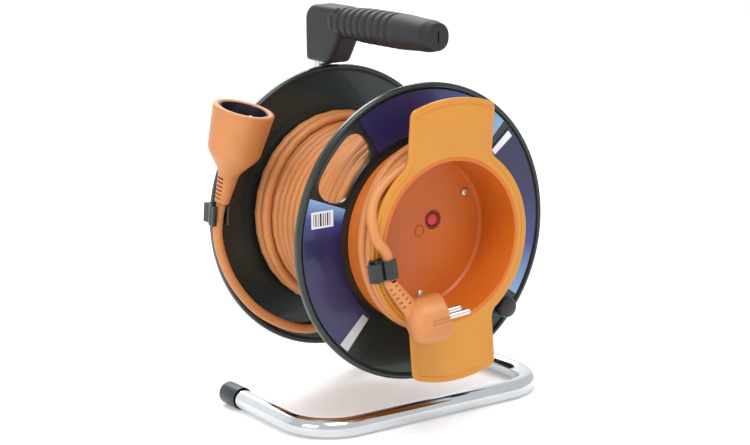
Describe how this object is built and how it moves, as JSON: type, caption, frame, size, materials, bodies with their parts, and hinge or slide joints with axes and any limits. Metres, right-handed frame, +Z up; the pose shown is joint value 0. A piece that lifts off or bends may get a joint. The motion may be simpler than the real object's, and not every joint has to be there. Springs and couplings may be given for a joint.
{
  "type": "extension cord reel",
  "caption": "Open cord reel: a drum on a bent-tube stand with a grip, a winged hub, wound orange cord, a two-pole plug and a round coupler clipped to the rim.",
  "frame": {"origin": "on the floor, in the middle of the footprint of the stand and drum (clips, cords and what is on them left out)", "axes": "+Z up, +Y to the back along the drum's axis, +X to the user's right"},
  "size_m": [0.2547, 0.2396, 0.322],
  "materials": {
    "chrome": "polished chrome plate",
    "zinc_steel": "zinc plated",
    "plated_brass": "nickel plated",
    "brass": "bright",
    "spring_steel": "plain",
    "flange_plastic": "satin black-green",
    "hub_plastic": "satin amber",
    "black_plastic": "satin black",
    "grey_plastic": "matt",
    "natural_nylon": "natural",
    "grip_rubber": "matt moulded",
    "orange_pvc": "soft satin PVC",
    "red_plastic": "glossy",
    "dark_red_plastic": "satin",
    "label_film": "printed film"
  },
  "bodies": {
    "stand": {"stand_tube": "chrome", "tube_end_cap": "black_plastic", "handle_grip": "grip_rubber", "axle_bolt": "zinc_steel", "axle_front_washer": "zinc_steel", "axle_spacer": "natural_nylon", "axle_rear_washer": "zinc_steel", "axle_nut": "zinc_steel"},
    "drum": {"rear_flange": "flange_plastic", "front_flange": "flange_plastic", "barrel": "flange_plastic", "winged_hub": "hub_plastic", "hub_screw_1": "zinc_steel", "hub_screw_2": "zinc_steel", "hub_screw_3": "zinc_steel", "rear_screw_1": "zinc_steel", "rear_screw_2": "zinc_steel", "rear_screw_3": "zinc_steel", "front_bushing": "natural_nylon", "rear_bushing": "natural_nylon", "cutout_bezel": "dark_red_plastic", "cutout_housing": "black_plastic", "reset_spring": "spring_steel", "terminal_block": "grey_plastic", "main_cord_clamp": "grey_plastic", "plug_cord_clamp": "grey_plastic", "knob_pin": "zinc_steel", "label_top": "label_film", "label_left": "label_film", "label_right": "label_film", "lead_outlet": "black_plastic", "main_winding": "orange_pvc", "plug_lead_turn": "orange_pvc", "plug_lead": "orange_pvc", "plug_body": "orange_pvc", "plug_pin_1": "plated_brass", "plug_pin_2": "plated_brass", "plug_earth_clip_upper": "brass", "plug_earth_clip_lower": "brass", "hub_clip": "black_plastic"},
    "coupler_end": {"coupler_lead": "orange_pvc", "coupler_body": "orange_pvc", "coupler_insert": "black_plastic", "coupler_contact_1": "brass", "coupler_contact_2": "brass", "coupler_earth_pin": "plated_brass", "coupler_clip": "black_plastic"},
    "knob": {"winding_knob": "black_plastic"},
    "button": {"reset_button": "red_plastic"}
  },
  "joints": [
    {"name": "drum_spin", "type": "hinge", "parent": "stand", "child": "drum", "pos_m": [0.0005, 0.0029, 0.15], "axis": [0, -1, 0], "continuous": true},
    {"name": "coupler_turn", "type": "hinge", "parent": "stand", "child": "coupler_end", "pos_m": [0.0005, 0.0029, 0.15], "axis": [0, -1, 0], "range_deg": [-35, 80]},
    {"name": "knob_spin", "type": "hinge", "parent": "drum", "child": "knob", "pos_m": [0.06909, -0.0751, 0.08141], "axis": [0, -1, 0], "continuous": true},
    {"name": "button_press", "type": "slide", "parent": "drum", "child": "button", "axis": [0, 1, 0], "range_m": [0, 0.0025], "stiffness_N_per_m": 300, "springref_m": -0.002, "deforming": ["reset_spring"]}
  ]
}
